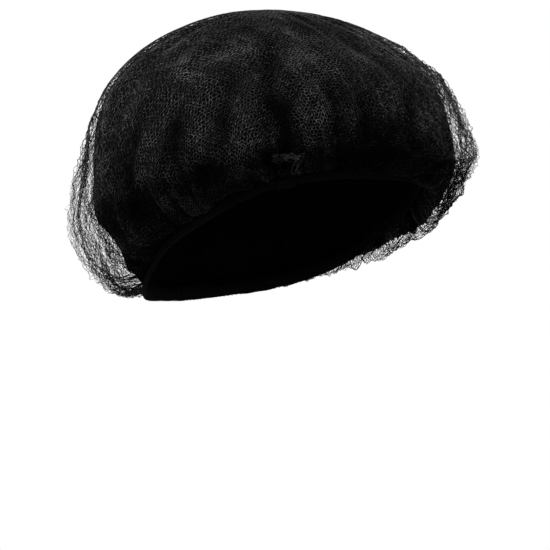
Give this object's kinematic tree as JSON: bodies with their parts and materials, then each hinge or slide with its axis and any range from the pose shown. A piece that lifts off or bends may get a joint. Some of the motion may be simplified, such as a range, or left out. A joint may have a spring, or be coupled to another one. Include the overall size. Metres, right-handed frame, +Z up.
{
  "type": "hairnet",
  "caption": "Bouffant hairnet held as worn: loose outer net bag over a dense inner net, gathered on a tilted elastic edge.",
  "frame": {"origin": "the seat: the inner top of the inner net, where the crown of the wearer's head bears", "axes": "+Z up, -Y the way the wearer faces, +X the wearer's left"},
  "size_m": [0.2175, 0.2405, 0.1733],
  "materials": {
    "net": "black knitted nylon net, matte",
    "inner_net": "black bunched net, matte and dense",
    "elastic": "black covered elastic, matte"
  },
  "bodies": {
    "root": {"net_outer": "net", "net_inner": "inner_net", "elastic_band": "elastic", "band_join": "elastic"}
  },
  "joints": []
}
